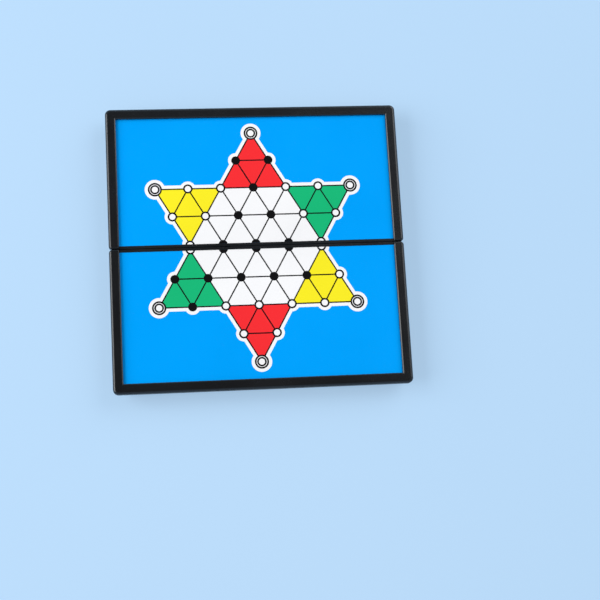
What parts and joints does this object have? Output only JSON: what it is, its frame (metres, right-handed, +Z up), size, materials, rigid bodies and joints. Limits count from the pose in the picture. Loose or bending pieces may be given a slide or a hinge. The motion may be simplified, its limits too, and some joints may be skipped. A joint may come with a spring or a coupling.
{
  "type": "chinese checkers set",
  "caption": "Folding magnetic star-board game case, opened flat: two shallow black trays hinged edge to edge, printed hexagram board on top, pawns stored inside.",
  "frame": {"origin": "centre of the open case's outline, on the surface that it lies on", "axes": "+X along the fold, to the right of a player at the near half; +Y from the near half to the far half; +Z up, out of the playing face"},
  "size_m": [0.25, 0.244, 0.0194],
  "materials": {
    "case_black": "satin moulded plastic",
    "rim_black": "glossy moulded plastic",
    "film_blue": "printed laminate, semi-gloss",
    "film_white": "printed laminate, semi-gloss",
    "film_red": "printed laminate, semi-gloss",
    "film_yellow": "printed laminate, semi-gloss",
    "film_green": "printed laminate, semi-gloss",
    "ink_black": "printed ink",
    "steel": "zinc plated",
    "pin_steel": "bright drawn",
    "link_black": "moulded nylon",
    "magnet": "nickel plated",
    "foam": "closed-cell foam",
    "pawn_red": "glossy moulded plastic",
    "pawn_yellow": "glossy moulded plastic",
    "pawn_green": "glossy moulded plastic"
  },
  "bodies": {
    "lower_half": {"lower_tray": "case_black", "lower_rim": "rim_black", "lower_steel_sheet": "steel", "lower_film_blue_ground": "film_blue", "lower_film_white_star": "film_white", "lower_film_red_home": "film_red", "lower_film_yellow_home": "film_yellow", "lower_film_green_home": "film_green", "lower_film_black_lines": "ink_black", "lower_closure_magnets": "magnet", "lower_hinge_pins": "pin_steel", "piece_rack": "foam"},
    "hinge_links": {"hinge_links": "link_black"},
    "upper_half": {"upper_tray": "case_black", "upper_rim": "rim_black", "upper_steel_sheet": "steel", "upper_film_blue_ground": "film_blue", "upper_film_white_star": "film_white", "upper_film_red_home": "film_red", "upper_film_yellow_home": "film_yellow", "upper_film_green_home": "film_green", "upper_film_black_lines": "ink_black", "upper_closure_magnets": "magnet", "upper_hinge_pins": "pin_steel"},
    "red_pawns": {"red_pawns": "pawn_red"},
    "yellow_pawns": {"yellow_pawns": "pawn_yellow"},
    "green_pawns": {"green_pawns": "pawn_green"}
  },
  "joints": [
    {"name": "link_fold", "type": "hinge", "parent": "lower_half", "child": "hinge_links", "pos_m": [0, -0.003, 0.00285], "axis": [-1, 0, 0], "range_deg": [0, 90]},
    {"name": "half_fold", "type": "hinge", "parent": "hinge_links", "child": "upper_half", "pos_m": [0, 0.003, 0.00285], "axis": [-1, 0, 0], "range_deg": [0, 90]},
    {"name": "red_pawns_lift", "type": "slide", "parent": "lower_half", "child": "red_pawns", "axis": [0, 0, -1], "range_m": [0, 0.014]},
    {"name": "yellow_pawns_lift", "type": "slide", "parent": "lower_half", "child": "yellow_pawns", "axis": [0, 0, -1], "range_m": [0, 0.014]},
    {"name": "green_pawns_lift", "type": "slide", "parent": "lower_half", "child": "green_pawns", "axis": [0, 0, -1], "range_m": [0, 0.014]}
  ],
  "couplings": [
    {"joint": "half_fold", "follows": "link_fold", "ratio": 1}
  ]
}
